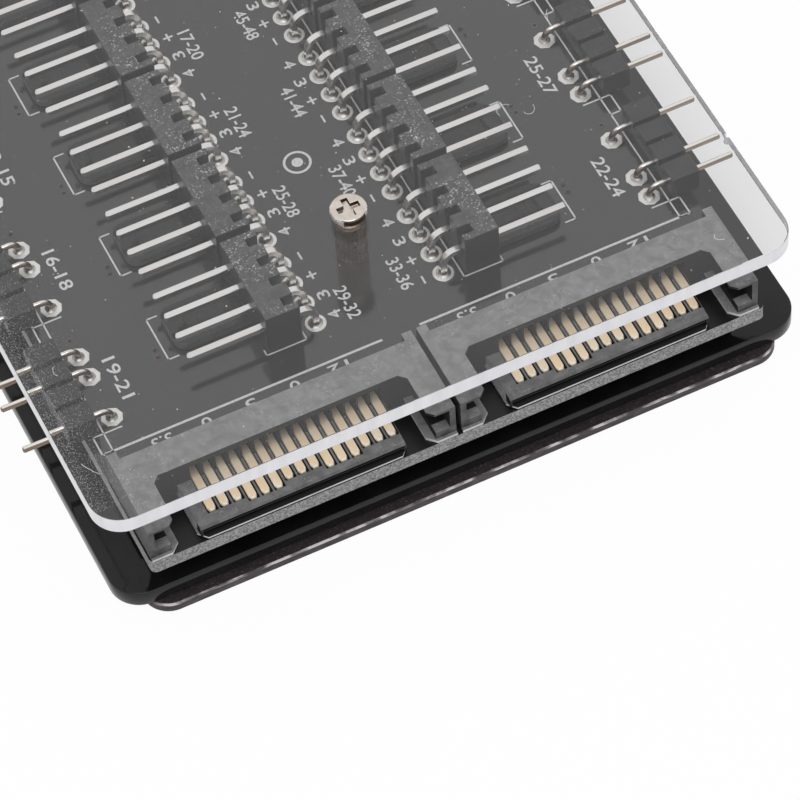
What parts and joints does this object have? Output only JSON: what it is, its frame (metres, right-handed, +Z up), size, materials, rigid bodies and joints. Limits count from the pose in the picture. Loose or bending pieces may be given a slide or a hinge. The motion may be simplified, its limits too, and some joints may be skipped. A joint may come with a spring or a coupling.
{
  "type": "fan controller hub",
  "caption": "Flat hub for a computer case: a board between a clear cover and a black base, with power plugs in front and rows of fan and light headers.",
  "frame": {"origin": "centre of the footprint, pins included, on the underside of the magnet pad", "axes": "+X to the viewer's right with the power sockets nearest, +Y from the power sockets at the front to the signal inputs at the back, +Z up through the clear cover"},
  "size_m": [0.072, 0.118, 0.0155],
  "materials": {
    "pad": "glossy flexible magnet sheet",
    "base_plate": "gloss",
    "cover_plate": "clear gloss",
    "screws": "nickel plated",
    "spacers": "nickel plated",
    "standoffs": "nickel plated, knurled",
    "board": "black solder mask, half gloss",
    "socket_housings": "matt moulded",
    "header_housings": "matt moulded",
    "contacts": "gold plated",
    "fan_pins": "tin plated",
    "light_pins": "gold plated"
  },
  "bodies": {
    "root": {"magnet_pad": "pad", "base_plate": "base_plate", "base_screws": "screws", "board_spacers": "spacers", "circuit_board": "board", "cover_standoffs": "standoffs", "cover_plate": "cover_plate", "cover_screws": "screws", "left_power_socket": "socket_housings", "left_power_contacts": "contacts", "right_power_socket": "socket_housings", "right_power_contacts": "contacts", "fan_header_01": "header_housings", "fan_header_02": "header_housings", "fan_header_03": "header_housings", "fan_header_04": "header_housings", "fan_header_05": "header_housings", "fan_header_06": "header_housings", "fan_header_07": "header_housings", "fan_header_08": "header_housings", "fan_header_09": "header_housings", "fan_header_10": "header_housings", "fan_header_11": "header_housings", "fan_header_12": "header_housings", "fan_header_13": "header_housings", "fan_header_14": "header_housings", "fan_header_15": "header_housings", "fan_header_16": "header_housings", "fan_pins_left": "fan_pins", "fan_pins_right": "fan_pins", "light_header_01": "header_housings", "light_header_02": "header_housings", "light_header_03": "header_housings", "light_header_04": "header_housings", "light_header_05": "header_housings", "light_header_06": "header_housings", "light_header_07": "header_housings", "light_header_08": "header_housings", "light_header_09": "header_housings", "light_header_10": "header_housings", "light_header_11": "header_housings", "light_header_12": "header_housings", "light_header_13": "header_housings", "light_header_14": "header_housings", "light_pins_left": "light_pins", "light_pins_right": "light_pins", "input_fan_header": "header_housings", "input_fan_pins": "fan_pins", "input_light_header": "header_housings", "input_light_pins": "light_pins"}
  },
  "joints": []
}
